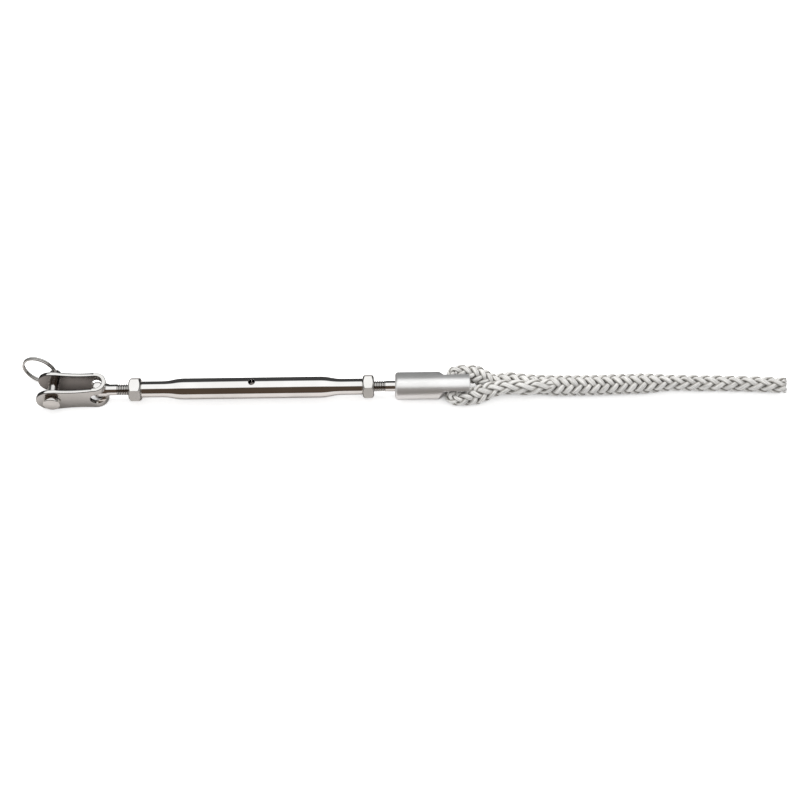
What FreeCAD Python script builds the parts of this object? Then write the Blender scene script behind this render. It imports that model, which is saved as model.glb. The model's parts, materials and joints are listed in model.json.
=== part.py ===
"""Shroud adjuster: a closed-body turnbuckle with a strap toggle at one end and a spliced rope at the other.

Frame: +X runs along the screw axis from the toggle to the rope, +Z is up and the clevis pin lies along Y.
The origin is the middle of the barrel, on its axis, where the tommy-bar hole crosses it.
The adjuster lies on its side: the strap's lower edges, the terminal, the split ring and the rope touch the
plane below.
"""
import FreeCAD, Part
import math
import os

import Sketcher
from FreeCAD import Rotation, Vector

doc = FreeCAD.newDocument("ShroudAdjuster")

SIZES = [
    ("barrelLength", 160, "turnbuckle barrel, end to end"),
    ("barrelDiameter", 15.3, "barrel, middle part"),
    ("neckDiameter", 11.7, "barrel, necked ends"),
    ("neckLength", 14.5, "plain neck at each end"),
    ("flareLength", 16.6, "from the neck out to the full diameter"),
    ("barrelEdge", 0.6, "chamfer at the barrel's ends"),
    ("tommyHole", 5, "cross hole for the tommy bar"),
    ("threadDiameter", 8, "screw thread, outside"),
    ("threadPlay", 0.1, "how much wider a threaded hole is than its screw"),
    ("nutAcrossFlats", 16, "lock nuts, across the flats"),
    ("leftNutThickness", 9, "right-hand lock nut at the toggle end"),
    ("rightNutThickness", 8.2, "left-hand lock nut at the rope end"),
    ("nutTurn", 42, "how far both nuts are turned about the axis, degrees"),
    ("nutFaceShare", 0.94, "round end face of a nut, as a share of its flats"),
    ("nutChamferAngle", 30, "chamfer on the nuts' corners, degrees"),
    ("studReach", 50, "thread inside the barrel, each stud"),
    ("studTip", 0.8, "chamfer at the studs' inner ends"),
    ("leftThreadShown", 8.7, "thread between the left nut and the plain shank"),
    ("leftShank", 5.5, "plain shank of the toggle stud, up to its root"),
    ("rootDiameter", 9.8, "round root of the toggle stud"),
    ("rootTaper", 2, "cone from the root down to the shank"),
    ("rootProud", 1.6, "how far that cone stands out of the strap's bend"),
    ("crossBarDiameter", 6.8, "bar of the toggle stud's T-head"),
    ("crossBarLength", 13.2, "bar of the T-head, end to end"),
    ("crossBarEdge", 1.2, "rounding of the bar's ends"),
    ("toggleSeatPlay", 0.15, "gap between the T-head's bar and the strap"),
    ("strapWidth", 20, "toggle strap, width"),
    ("strapThickness", 3, "toggle strap, thickness"),
    ("strapGap", 10.6, "inside the strap's bend"),
    ("strapSplay", 2, "how far each leg leans out, degrees"),
    ("legLength", 42.5, "from the centre of the bend to the leg's end"),
    ("pinFromEnd", 11.4, "from the leg's end to the clevis pin"),
    ("legEndRadius", 9.9, "rounding of the legs' ends"),
    ("waistStart", 1, "from the centre of the bend to the legs' waist"),
    ("waistFromPin", 3, "from the clevis pin to the legs' waist"),
    ("waistDepth", 1, "how far the legs' edges draw in at the waist"),
    ("strapEdge", 0.5, "rounding of the strap's long edges"),
    ("slotWidth", 10.4, "slot round the bend, across"),
    ("slotReach", 3.7, "slot's end, from the centre of the bend"),
    ("pinDiameter", 8, "clevis pin"),
    ("pinHolePlay", 0.3, "how much wider the strap's holes are than the pin"),
    ("pinHeadDiameter", 12.5, "head of the clevis pin"),
    ("pinHeadThickness", 3.2, "head of the clevis pin"),
    ("pinHeadEdge", 0.7, "chamfer round the head"),
    ("pinTail", 7.4, "pin beyond the far leg"),
    ("pinTip", 0.9, "chamfer at the pin's tail"),
    ("ringHole", 3.4, "cross hole in the pin for the split ring"),
    ("ringHoleFromTip", 3.4, "from the pin's end to the middle of that hole"),
    ("ringDiameter", 25.8, "split ring, outside"),
    ("ringWire", 1.35, "split ring's wire"),
    ("ringPlay", 0.04, "gap between the ring's two turns"),
    ("ringStep", 30, "angle of the step from one turn to the next, degrees"),
    ("ringLean", 15, "how far the ring leans away from the strap, degrees"),
    ("rightThreadShown", 8.2, "thread between the right nut and the plain shank"),
    ("rightShank", 7.1, "plain shank up to the terminal"),
    ("rightShankDiameter", 7.8, "plain shank at the terminal"),
    ("studSocket", 18, "how deep the right stud sits in the terminal"),
    ("socketPlay", 0.04, "how much wider the terminal's socket is than the stud"),
    ("terminalDiameter", 20, "rope terminal"),
    ("terminalLength", 54, "rope terminal, end to end"),
    ("terminalEdge", 2.4, "rounding where the stud goes in"),
    ("tongueLength", 19, "flat tongue, after the shoulders"),
    ("tongueThickness", 12.4, "flat tongue"),
    ("tongueEdge", 0.8, "rounding round the tongue's end"),
    ("terminalTurn", 22, "how far the terminal is turned about its axis, degrees"),
    ("ropeHole", 12.4, "hole across the tongue"),
    ("ropeHolePlace", 12, "from the tongue's end to the middle of the hole"),
    ("ropeHoleEdge", 1.6, "rounding of the hole's rims"),
    ("eyeRope", 8.6, "rope where it goes round the tongue"),
    ("eyeBend", 8, "bend of the rope into the hole, to its middle"),
    ("eyePlay", 0.3, "gap between the rope and the tongue's flats"),
    ("throatFromTongue", 19.5, "from the tongue's end to the throat of the eye"),
    ("throatSpread", 8.8, "between the rope's middles at the throat"),
    ("spliceRope", 15.4, "rope with the spliced tail inside it"),
    ("standingRope", 11.6, "rope after the splice"),
]

sheet = doc.addObject("Spreadsheet::Sheet", "Sizes")
for row, (alias, number, note) in enumerate(SIZES, start=1):
    sheet.set(f"A{row}", alias)
    sheet.set(f"B{row}", str(number))
    sheet.set(f"C{row}", note)
    sheet.setAlias(f"B{row}", alias)
doc.recompute()


class Size:
    """A number together with the spreadsheet expression that gives it."""

    def __init__(self, number, text):
        self.number, self.text = number, text

    def __add__(self, other):
        other = as_size(other)
        return Size(self.number + other.number, f"({self.text} + {other.text})")

    def __sub__(self, other):
        other = as_size(other)
        return Size(self.number - other.number, f"({self.text} - {other.text})")

    def __mul__(self, other):
        other = as_size(other)
        return Size(self.number * other.number, f"({self.text} * {other.text})")

    def __truediv__(self, other):
        other = as_size(other)
        return Size(self.number / other.number, f"({self.text} / {other.text})")

    def __neg__(self):
        return Size(-self.number, f"(0 - {self.text})")


def as_size(value):
    return value if isinstance(value, Size) else Size(value, str(value))


def sine(angle):
    return Size(math.sin(math.radians(angle.number)), f"sin({angle.text} * 1 deg)")


def cosine(angle):
    return Size(math.cos(math.radians(angle.number)), f"cos({angle.text} * 1 deg)")


class Cells:
    """The spreadsheet's cells by their aliases."""

    def __getattr__(self, alias):
        return Size(float(getattr(sheet, alias)), f"Sizes.{alias}")


the = Cells()
ZERO = as_size(0)
LEFT, RIGHT = 1, -1


def outline(sketch, corners):
    """A closed outline through the corners. A corner is (x, y), or (x, y, radius, side) where an arc leads to
    the next one, with its centre to the LEFT or RIGHT of the way there."""
    first, count = sketch.GeometryCount, len(corners)
    corners = [(as_size(corner[0]), as_size(corner[1]), *corner[2:]) for corner in corners]
    points = [Vector(corner[0].number, corner[1].number) for corner in corners]
    ends = []
    for i, corner in enumerate(corners):
        start, end = points[i], points[(i + 1) % count]
        curve, order = Part.LineSegment(start, end), (1, 2)
        if len(corner) > 2:
            chord = end - start
            across = Vector(-chord.y, chord.x).normalize() * corner[3]
            rise = math.sqrt(max(corner[2].number ** 2 - chord.Length**2 / 4, 0))
            middle = (start + end) * 0.5 + across * (rise - corner[2].number)
            if corner[3] == RIGHT:
                start, end, order = end, start, (2, 1)
            curve = Part.Arc(start, middle, end)
        sketch.addGeometry(curve, False)
        ends.append(order)
    for i in range(count):
        after = (i + 1) % count
        joint = Sketcher.Constraint("Coincident", first + i, ends[i][1], first + after, ends[after][0])
        sketch.addConstraint(joint)
    for i, corner in enumerate(corners):
        place_point(sketch, first + i, ends[i][0], corner[0], corner[1])
        if len(corner) > 2:
            bind_constraint(sketch, "Radius", corner[2], first + i)


def bind_constraint(sketch, kind, size, *items):
    index = sketch.addConstraint(Sketcher.Constraint(kind, *items, size.number))
    sketch.setExpression(f"Constraints[{index}]", size.text)


def place_point(sketch, item, end, x, y):
    """Tie a point of the sketch to its coordinates."""
    for kind, axis, size in (("DistanceX", -2, x), ("DistanceY", -1, y)):
        if size.number == 0:
            sketch.addConstraint(Sketcher.Constraint("PointOnObject", item, end, axis))
        else:
            bind_constraint(sketch, kind, size, -1, 1, item, end)


def circle(sketch, x, diameter):
    """A circle centred on the sketch's horizontal axis."""
    round_one = Part.Circle(Vector(x.number, 0), Vector(0, 0, 1), diameter.number / 2)
    item = sketch.addGeometry(round_one, False)
    place_point(sketch, item, 3, x, ZERO)
    bind_constraint(sketch, "Diameter", diameter, item)


def new_sketch(body, role, name):
    """A sketch on one of the body's own origin planes."""
    sketch = body.newObject("Sketcher::SketchObject", name)
    plane = [item for item in body.Origin.OriginFeatures if item.Role == role][0]
    sketch.AttachmentSupport = (plane, [""])
    sketch.MapMode = "FlatFace"
    return sketch


def new_body(label):
    body = doc.addObject("PartDesign::Body", label)
    body.Label = label
    return body


def turned(body, name, corners):
    """Turn an outline of (along the axis, radius) corners about the body's X axis."""
    sketch = new_sketch(body, "XY_Plane", name + "Profile")
    outline(sketch, corners)
    turn = body.newObject("PartDesign::Revolution", name)
    turn.Profile = sketch
    turn.ReferenceAxis = (sketch, ["H_Axis"])
    turn.Angle = 360
    doc.recompute()


def padded(body, sketch, name, length):
    """Pad the sketch to both sides of its plane, length in all."""
    pad = body.newObject("PartDesign::Pad", name)
    pad.Profile = sketch
    pad.Midplane = True
    pad.setExpression("Length", length.text)
    doc.recompute()


def cut_across(body, sketch, name):
    """Cut the sketch through the whole body, to both sides of its plane."""
    before = body.Shape.Volume
    pocket = body.newObject("PartDesign::Pocket", name)
    pocket.Profile = sketch
    pocket.Type = "ThroughAll"
    pocket.Midplane = True
    doc.recompute()
    if body.Shape.Volume > before - 0.01:
        raise ValueError(f"{name} cuts nothing")


def round_edges(body, name, radius, wanted):
    """Round the edges of the body that the test picks."""
    names = [f"Edge{i}" for i, edge in enumerate(body.Tip.Shape.Edges, start=1) if wanted(edge)]
    if not names:
        raise ValueError(f"{name} finds no edge")
    base = body.Tip
    fillet = body.newObject("PartDesign::Fillet", name)
    fillet.Base = (base, names)
    fillet.setExpression("Radius", radius.text)
    doc.recompute()


def set_base(part, x, y=ZERO, z=ZERO):
    for axis, size in (("x", x), ("y", y), ("z", z)):
        part.setExpression(f".Placement.Base.{axis}", size.text)


def turn_about(x, y, z, angle):
    return Rotation(Vector(x, y, z), angle)


# Places that several pieces share

thread_radius = the.threadDiameter / 2
bore_radius = (the.threadDiameter + the.threadPlay) / 2
barrel_end = the.barrelLength / 2
left_nut_face = -(barrel_end + the.leftNutThickness)
root_start = left_nut_face - the.leftThreadShown - the.leftShank
strap_inner = the.strapGap / 2
strap_outer = strap_inner + the.strapThickness
bend_centre = root_start - the.rootProud - strap_outer
head_centre = bend_centre + strap_inner - the.crossBarDiameter / 2 - the.toggleSeatPlay
pin_place = the.legLength - the.pinFromEnd
pin_axis = bend_centre - pin_place
splay_sine, splay_cosine = sine(the.strapSplay), cosine(the.strapSplay)


def leg_face(radius, along):
    """How far a leg's face lies from the middle plane, at a distance along from the centre of the bend."""
    return (radius + along * splay_sine) / splay_cosine


head_seat = leg_face(strap_outer, pin_place + the.pinHeadDiameter / 2)
pin_tip = leg_face(strap_outer, pin_place) + the.pinTail
ring_hole_place = pin_tip - the.ringHoleFromTip
terminal_start = barrel_end + the.rightNutThickness + the.rightThreadShown + the.rightShank
tongue_end = terminal_start + the.terminalLength
throat = tongue_end + the.throatFromTongue
floor = -the.strapWidth / 2


def at_corner(edge, corner):
    """Whether an edge across the strap lies at this (x, z) corner, on either side."""
    middle = edge.CenterOfMass
    return abs(middle.x - corner[0]) < 0.01 and abs(abs(middle.z) - corner[1]) < 0.01


def make_strap():
    """The folded strap, with its bend at the body's origin and its legs along the body's +X."""
    body = new_body("toggle_strap")
    end, half_width = the.legLength, the.strapWidth / 2
    corners = []
    for radius, side in ((strap_outer, 1), (strap_inner, -1)):
        tangent_x, tangent_y = -radius * splay_sine, radius * splay_cosine
        bend_turn = LEFT if side == 1 else RIGHT
        corners += [
            (end, leg_face(radius, end) * side),
            (tangent_x, tangent_y * side, radius, bend_turn),
            (-radius, ZERO, radius, bend_turn),
            (tangent_x, -tangent_y * side),
            (end, -leg_face(radius, end) * side),
        ]
    fold = new_sketch(body, "XY_Plane", "FoldedStrip")
    outline(fold, corners)
    padded(body, fold, "Strip", the.strapWidth)

    reach, far = half_width.number, end.number
    corner_at = (far, reach)
    round_edges(body, "RoundEnds", the.legEndRadius, lambda edge: at_corner(edge, corner_at))

    waist = new_sketch(body, "XZ_Plane", "WaistSketch")
    start, stop, beyond = the.waistStart, pin_place - the.waistFromPin, half_width + the.strapThickness
    span = (stop - start) / 2
    waist_radius = (span * span + the.waistDepth * the.waistDepth) / (the.waistDepth * 2)
    for side, hollow in ((1, RIGHT), (-1, LEFT)):
        outline(waist, [
            (start, beyond * side),
            (stop, beyond * side),
            (stop, half_width * side, waist_radius, hollow),
            (start, half_width * side),
        ])
    cut_across(body, waist, "Waist")

    slot = new_sketch(body, "XZ_Plane", "SlotSketch")
    half_slot, open_end = the.slotWidth / 2, -(strap_outer + the.strapThickness)
    outline(slot, [
        (open_end, half_slot),
        (the.slotReach - half_slot, half_slot, half_slot, RIGHT),
        (the.slotReach, ZERO, half_slot, RIGHT),
        (the.slotReach - half_slot, -half_slot),
        (open_end, -half_slot),
    ])
    cut_across(body, slot, "Slot")

    holes = new_sketch(body, "XZ_Plane", "PinHolesSketch")
    circle(holes, pin_place, the.pinDiameter + the.pinHolePlay)
    cut_across(body, holes, "PinHoles")

    hole_radius = (the.pinDiameter + the.pinHolePlay).number / 2
    past_hole = pin_place.number + hole_radius
    drawn_in = reach - the.waistDepth.number

    def long_edge(edge):
        """Edges along the strip's outline, and not the holes' and the slot's."""
        middle = edge.CenterOfMass
        across = edge.Length < the.strapThickness.number + 1
        return abs(middle.z) > drawn_in - 0.01 or middle.x > past_hole and not across

    round_edges(body, "SoftEdges", the.strapEdge, long_edge)
    body.Placement.Rotation = turn_about(0, 0, 1, 180)
    set_base(body, bend_centre)
    return body


def ring_pose():
    """How far the ring's hole tilts, the ring's centre and its turn, with the ring resting on the floor."""
    wire, lean = the.ringWire.number, math.radians(the.ringLean.number)
    radius = (the.ringDiameter.number - wire) / 2
    pitch = wire + the.ringPlay.number
    pin_radius = the.pinDiameter.number / 2
    sag = radius - math.sqrt(radius**2 - pin_radius**2)
    from_hole = radius - sag / 2
    low, high = 0.0, math.pi / 3
    while high - low > 1e-7:
        tilt = (low + high) / 2
        normal_z = math.sin(lean) * math.sin(tilt)
        drop = radius * math.sqrt(1 - normal_z**2) + pitch / 2 * normal_z + wire / 2
        lowest = from_hole * math.cos(lean) * math.sin(tilt) - drop
        low, high = (tilt, high) if lowest < floor.number else (low, tilt)
    level = Vector(-math.cos(tilt), 0, math.sin(tilt))
    outward = level * math.cos(lean) + Vector(0, math.sin(lean), 0)
    normal = level * math.sin(lean) - Vector(0, math.cos(lean), 0)
    hole = Vector(pin_axis.number, ring_hole_place.number, 0)
    turn = Rotation(outward, normal.cross(outward), normal, "XZY")
    return math.degrees(tilt), hole + outward * from_hole, turn


ring_tilt, ring_centre, ring_turn = ring_pose()


def make_pin():
    """The clevis pin, from the outside of its head to its tail."""
    body = new_body("clevis_pin")
    head, shank = the.pinHeadDiameter / 2, the.pinDiameter / 2
    seat = the.pinHeadThickness
    length = seat + head_seat + pin_tip
    turned(body, "PinTurned", [
        (ZERO, ZERO),
        (ZERO, head - the.pinHeadEdge),
        (the.pinHeadEdge, head),
        (seat, head),
        (seat, shank),
        (length - the.pinTip, shank),
        (length, shank - the.pinTip),
        (length, ZERO),
    ])
    hole = new_sketch(body, "XY_Plane", "RingHoleSketch")
    circle(hole, length - the.ringHoleFromTip, the.ringHole)
    cut_across(body, hole, "RingHole")
    body.Placement.Rotation = turn_about(0, 1, 0, ring_tilt) * turn_about(0, 0, 1, 90)
    set_base(body, pin_axis, -(head_seat + seat))
    return body


def ring_path():
    """The wire's middle line in the ring's own frame: two flat turns and a step between them."""
    radius = (the.ringDiameter - the.ringWire).number / 2
    half_pitch = (the.ringWire + the.ringPlay).number / 2
    half_step = the.ringStep.number / 2

    def place(angle, z):
        angle = math.radians(angle)
        return Vector(radius * math.cos(angle), radius * math.sin(angle), z)

    def flat_turn(z):
        arc = Part.Arc(place(half_step, z), place(180, z), place(-half_step, z))
        return arc.toShape()

    handle = radius * math.radians(half_step) * 2 / 3
    lean = Vector(math.sin(math.radians(half_step)), math.cos(math.radians(half_step)), 0) * handle
    start, end = place(-half_step, -half_pitch), place(half_step, half_pitch)
    step = Part.BezierCurve()
    step.setPoles([start, start + lean, end - Vector(-lean.x, lean.y, 0), end])
    return Part.Wire([flat_turn(-half_pitch), step.toShape(), flat_turn(half_pitch)])


def make_ring():
    """The split ring: two flat turns of wire side by side, joined by a step."""
    coil = doc.addObject("Part::Feature", "RingPath")
    coil.Shape = ring_path()
    wire = doc.addObject("Part::Circle", "RingWireSection")
    wire.setExpression("Radius", (the.ringWire / 2).text)
    start = coil.Shape.Edges[0]
    wire.Placement = FreeCAD.Placement(
        start.valueAt(start.FirstParameter), Rotation(Vector(0, 0, 1), start.tangentAt(start.FirstParameter))
    )
    doc.recompute()
    ring = doc.addObject("Part::Sweep", "split_ring")
    ring.Label = "split_ring"
    ring.Sections = [wire]
    ring.Spine = (coil, [f"Edge{i + 1}" for i in range(len(coil.Shape.Edges))])
    ring.Solid = True
    ring.Frenet = False
    ring.Placement = FreeCAD.Placement(ring_centre, ring_turn)
    doc.recompute()
    return ring


def make_toggle_stud():
    """The T-headed stud, from the centre of its head towards the barrel."""
    body = new_body("toggle_stud")
    root = the.rootDiameter / 2
    cone_end = root_start - head_centre
    length = -(barrel_end - the.studReach) - head_centre
    turned(body, "StudTurned", [
        (-root, ZERO, root, RIGHT),
        (ZERO, root),
        (cone_end - the.rootTaper, root),
        (cone_end, thread_radius),
        (length - the.studTip, thread_radius),
        (length, thread_radius - the.studTip),
        (length, ZERO),
    ])
    bar = new_sketch(body, "XY_Plane", "CrossBarSketch")
    circle(bar, ZERO, the.crossBarDiameter)
    padded(body, bar, "CrossBar", the.crossBarLength)
    bar_end = the.crossBarLength.number / 2
    round_edges(body, "BarEnds", the.crossBarEdge, lambda edge: abs(edge.CenterOfMass.z) > bar_end - 0.01)
    set_base(body, head_centre)
    return body


def make_nut(label, start, thickness):
    """A hexagon lock nut with chamfered corners, from its left face at start."""
    def primitive(kind, name, **sizes):
        item = doc.addObject(kind, label + name)
        for key, size in sizes.items():
            item.setExpression(key, size.text)
        return item

    flats = the.nutAcrossFlats
    face_radius = flats * the.nutFaceShare / 2
    slope = cosine(the.nutChamferAngle) / sine(the.nutChamferAngle)
    wide_radius = face_radius + thickness * slope
    hexagon = primitive("Part::Prism", "Hexagon", Height=thickness, Circumradius=flats / math.sqrt(3))
    hexagon.Polygon = 6
    upper = primitive("Part::Cone", "Upper", Height=thickness, Radius1=wide_radius, Radius2=face_radius)
    lower = primitive("Part::Cone", "Lower", Height=thickness, Radius1=face_radius, Radius2=wide_radius)
    blank = doc.addObject("Part::MultiCommon", label + "Blank")
    blank.Shapes = [hexagon, upper, lower]
    hole = primitive("Part::Cylinder", "Hole", Height=thickness, Radius=bore_radius)
    nut = doc.addObject("Part::Cut", label)
    nut.Label = label
    nut.Base = blank
    nut.Tool = hole
    nut.Placement.Rotation = turn_about(1, 0, 0, the.nutTurn.number) * turn_about(0, 1, 0, 90)
    set_base(nut, start)
    return nut


def make_barrel():
    """The barrel, from its left end: plain necks, S-shaped flares and a bore right through."""
    body = new_body("turnbuckle_barrel")
    neck, full = the.neckDiameter / 2, the.barrelDiameter / 2
    rise, half_flare = full - neck, the.flareLength / 2
    bend = (half_flare * half_flare * 4 + rise * rise) / (rise * 4)
    edge, length = the.barrelEdge, the.barrelLength
    flare_mid, flare_end = the.neckLength + half_flare, the.neckLength + the.flareLength
    turned(body, "BarrelTurned", [
        (ZERO, bore_radius + edge),
        (ZERO, neck - edge),
        (edge, neck),
        (the.neckLength, neck, bend, LEFT),
        (flare_mid, (neck + full) / 2, bend, RIGHT),
        (flare_end, full),
        (length - flare_end, full, bend, RIGHT),
        (length - flare_mid, (neck + full) / 2, bend, LEFT),
        (length - the.neckLength, neck),
        (length - edge, neck),
        (length, neck - edge),
        (length, bore_radius + edge),
        (length - edge, bore_radius),
        (edge, bore_radius),
    ])
    hole = new_sketch(body, "XY_Plane", "TommyHoleSketch")
    circle(hole, length / 2, the.tommyHole)
    cut_across(body, hole, "TommyHole")
    set_base(body, -barrel_end)
    return body


def make_terminal_stud():
    """The left-hand stud, from its end inside the barrel to its end in the terminal."""
    body = new_body("terminal_stud")
    inner_end = barrel_end - the.studReach
    thread_end = terminal_start - the.rightShank - inner_end
    length = terminal_start + the.studSocket - inner_end
    shank = the.rightShankDiameter / 2
    turned(body, "TerminalStudTurned", [
        (ZERO, ZERO),
        (ZERO, thread_radius - the.studTip),
        (the.studTip, thread_radius),
        (thread_end, thread_radius),
        (thread_end, shank),
        (length, shank),
        (length, ZERO),
    ])
    set_base(body, inner_end)
    return body


def make_terminal():
    """The rope terminal: a turned bar with a flat tongue, shoulders at 45 degrees and a hole for the rope."""
    body = new_body("rope_terminal")
    outer, length = the.terminalDiameter / 2, the.terminalLength
    socket = (the.rightShankDiameter + the.socketPlay) / 2
    turned(body, "TerminalTurned", [
        (ZERO, socket),
        (ZERO, outer - the.terminalEdge, the.terminalEdge, RIGHT),
        (the.terminalEdge, outer),
        (length, outer),
        (length, ZERO),
        (the.studSocket, ZERO),
        (the.studSocket, socket),
    ])
    flat, over = the.tongueThickness / 2, outer + the.terminalEdge
    flats = new_sketch(body, "XY_Plane", "FlatsSketch")
    for side in (1, -1):
        outline(flats, [
            (length - the.tongueLength, flat * side),
            (length + the.terminalEdge, flat * side),
            (length + the.terminalEdge, over * side),
            (length - the.tongueLength - over + flat, over * side),
        ])
    cut_across(body, flats, "Flats")
    hole = new_sketch(body, "XZ_Plane", "RopeHoleSketch")
    circle(hole, length - the.ropeHolePlace, the.ropeHole)
    cut_across(body, hole, "RopeHole")
    rim = the.ropeHole.number / 2
    round_edges(body, "RopeHoleRims", the.ropeHoleEdge, lambda edge: is_circle(edge, rim))
    end = length.number
    round_edges(body, "TongueEnd", the.tongueEdge, lambda edge: abs(edge.CenterOfMass.x - end) < 0.01)
    body.Placement.Rotation = turn_about(1, 0, 0, the.terminalTurn.number)
    set_base(body, terminal_start)
    return body


def is_circle(edge, radius):
    return isinstance(edge.Curve, Part.Circle) and abs(edge.Curve.Radius - radius) < 1e-3


# The rope's route after the throat, in the frame's millimetres
STANDING_ROUTE = [
    (200, 0.4, -2.0),
    (238, -0.5, -2.3),
    (276, 0.7, -2.2),
    (306, 1.5, -2.3),
    (326, 1.6, -4.1),
    (352, 1.2, -4.2),
    (386.5, -1.1, -4.2),
]
SPLICE_ENDS_AT = 295


def bend_radius(before, corner, after):
    """The largest arc that its two runs allow."""
    turn = (corner - before).getAngle(after - corner)
    return 0.45 * min((corner - before).Length, (after - corner).Length) / math.tan(turn / 2)


def rope_path(points, radii=None):
    """Straight runs joined by tangent arcs, as a list of edges."""
    edges, place = [], points[0]
    for i in range(1, len(points) - 1):
        before, corner, after = points[i - 1 : i + 2]
        back, ahead = (before - corner).normalize(), (after - corner).normalize()
        radius = radii[i - 1] if radii else bend_radius(before, corner, after)
        turn = (corner - before).getAngle(after - corner)
        reach = radius * math.tan(turn / 2)
        start, end = corner + back * reach, corner + ahead * reach
        inward = (back + ahead).normalize()
        middle = corner + inward * (radius / math.cos(turn / 2) - radius)
        if (start - place).Length > 1e-6:
            edges.append(Part.LineSegment(place, start).toShape())
        edges.append(Part.Arc(start, middle, end).toShape())
        place = end
        print(f"rope: point {i}, turn {math.degrees(turn):.1f} degrees, radius {radius:.1f} mm")
    edges.append(Part.LineSegment(place, points[-1]).toShape())
    return edges


def rope_tube(edges, diameter):
    """A round tube along the edges, closed at both ends."""
    path = Part.Wire(edges)
    start = edges[0].valueAt(edges[0].FirstParameter)
    along = edges[0].tangentAt(edges[0].FirstParameter)
    section = Part.Wire(Part.Circle(start, along, diameter / 2).toShape())
    tube = path.makePipeShell([section], True, False)
    expected = math.pi * diameter**2 / 4 * path.Length
    print(f"rope: tube of {path.Length:.1f} mm, volume {tube.Volume:.0f}, expected {expected:.0f} mm3")
    if abs(tube.Volume / expected - 1) > 0.01:
        raise ValueError("a rope tube has the wrong volume")
    return tube


def eye_edges():
    """The rope's path round the tongue and through its hole, from the throat back to the throat."""
    leg = (the.tongueThickness + the.eyeRope).number / 2 + the.eyePlay.number
    spread = the.throatSpread.number / 2
    bottom = (tongue_end - the.ropeHolePlace).number
    bend = the.eyeBend.number
    tongue, end = tongue_end.number, throat.number
    upper = [(end + 2, spread), (end - 4, spread), (tongue + 2.5, leg)]
    half = upper + [(bottom, leg)]
    flat_points = [Vector(x, y, 0) for x, y in half] + [Vector(x, -y, 0) for x, y in reversed(half)]
    side_bends = [bend_radius(*flat_points[i - 1 : i + 2]) for i in (1, 2)]
    radii = side_bends + [bend, bend] + side_bends[::-1]
    turn = turn_about(1, 0, 0, the.terminalTurn.number)
    return rope_path([turn.multVec(point) for point in flat_points], radii)


def make_rope():
    """The rope: its eye round the tongue, the thick splice and the standing part, as one solid."""
    route = [Vector(throat.number, 0, -0.4)] + [Vector(*point) for point in STANDING_ROUTE]
    edges = rope_path(route)
    share = [edge for edge in edges if edge.Vertexes[0].X < SPLICE_ENDS_AT]
    rest = edges[len(share) :]
    eye = rope_tube(eye_edges(), the.eyeRope.number)
    splice = rope_tube(share, the.spliceRope.number)
    standing = rope_tube(rest, the.standingRope.number)
    rope = doc.addObject("Part::Feature", "spliced_rope")
    rope.Label = "spliced_rope"
    rope.Shape = splice.multiFuse([eye, standing]).removeSplitter()
    return rope


parts = [
    make_strap(),
    make_pin(),
    make_ring(),
    make_toggle_stud(),
    make_nut("left_lock_nut", left_nut_face, the.leftNutThickness),
    make_barrel(),
    make_nut("right_lock_nut", barrel_end, the.rightNutThickness),
    make_terminal_stud(),
    make_terminal(),
    make_rope(),
]
doc.recompute()

for item in doc.Objects:
    if "Invalid" in item.State or "Error" in item.State:
        raise ValueError(f"{item.Label} didn't compute: {item.State}")
for part in parts:
    if part.Shape.isNull() or not part.Shape.isValid() or len(part.Shape.Solids) != 1:
        raise ValueError(f"{part.Label} isn't one valid solid")

os.makedirs("parts", exist_ok=True)
for part in parts:
    part.Shape.exportStep(f"parts/{part.Label}.step")
    print(f"{part.Label}: {part.Shape.Volume:.1f} mm3")
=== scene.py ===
import json
from math import cos, pi, radians, sin
from random import Random

import bmesh
import bpy
from mathutils import Matrix, Vector


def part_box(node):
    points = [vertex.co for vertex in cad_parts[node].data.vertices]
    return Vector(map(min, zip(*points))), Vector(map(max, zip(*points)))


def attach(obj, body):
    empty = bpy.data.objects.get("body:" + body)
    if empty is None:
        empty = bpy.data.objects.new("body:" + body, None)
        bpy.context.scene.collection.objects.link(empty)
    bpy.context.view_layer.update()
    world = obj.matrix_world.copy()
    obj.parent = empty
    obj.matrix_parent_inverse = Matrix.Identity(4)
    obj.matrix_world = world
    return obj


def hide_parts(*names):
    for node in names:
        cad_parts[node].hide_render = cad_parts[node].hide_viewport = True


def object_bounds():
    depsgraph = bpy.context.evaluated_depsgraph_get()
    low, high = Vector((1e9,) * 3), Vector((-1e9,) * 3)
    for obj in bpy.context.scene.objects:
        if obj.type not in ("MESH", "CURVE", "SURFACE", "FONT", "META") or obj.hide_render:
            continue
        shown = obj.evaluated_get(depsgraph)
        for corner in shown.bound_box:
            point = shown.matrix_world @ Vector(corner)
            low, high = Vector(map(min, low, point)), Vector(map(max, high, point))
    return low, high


# A shroud adjuster on a white studio floor. +X runs along the screw axis, from the toggle to the rope.
# The scene is in metres. The sizes in the dicts are in millimetres and degrees, where nothing else is said.

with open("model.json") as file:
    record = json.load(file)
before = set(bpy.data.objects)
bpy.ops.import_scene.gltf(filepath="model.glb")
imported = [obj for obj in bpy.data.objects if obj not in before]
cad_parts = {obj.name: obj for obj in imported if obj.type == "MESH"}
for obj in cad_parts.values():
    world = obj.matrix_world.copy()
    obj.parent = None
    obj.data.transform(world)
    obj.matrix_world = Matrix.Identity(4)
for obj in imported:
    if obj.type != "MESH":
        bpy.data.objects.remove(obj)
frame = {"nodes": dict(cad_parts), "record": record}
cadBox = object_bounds()
bodyOf = {
    node: body
    for body, nodes in frame["record"]["behaviour"]["bodies"].items()
    for node in nodes
}
xAxis, zAxis = Vector((1, 0, 0)), Vector((0, 0, 1))
floorHeight = cadBox[0][2]
mm = 0.001
print("frame loaded")

# Camera

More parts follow.
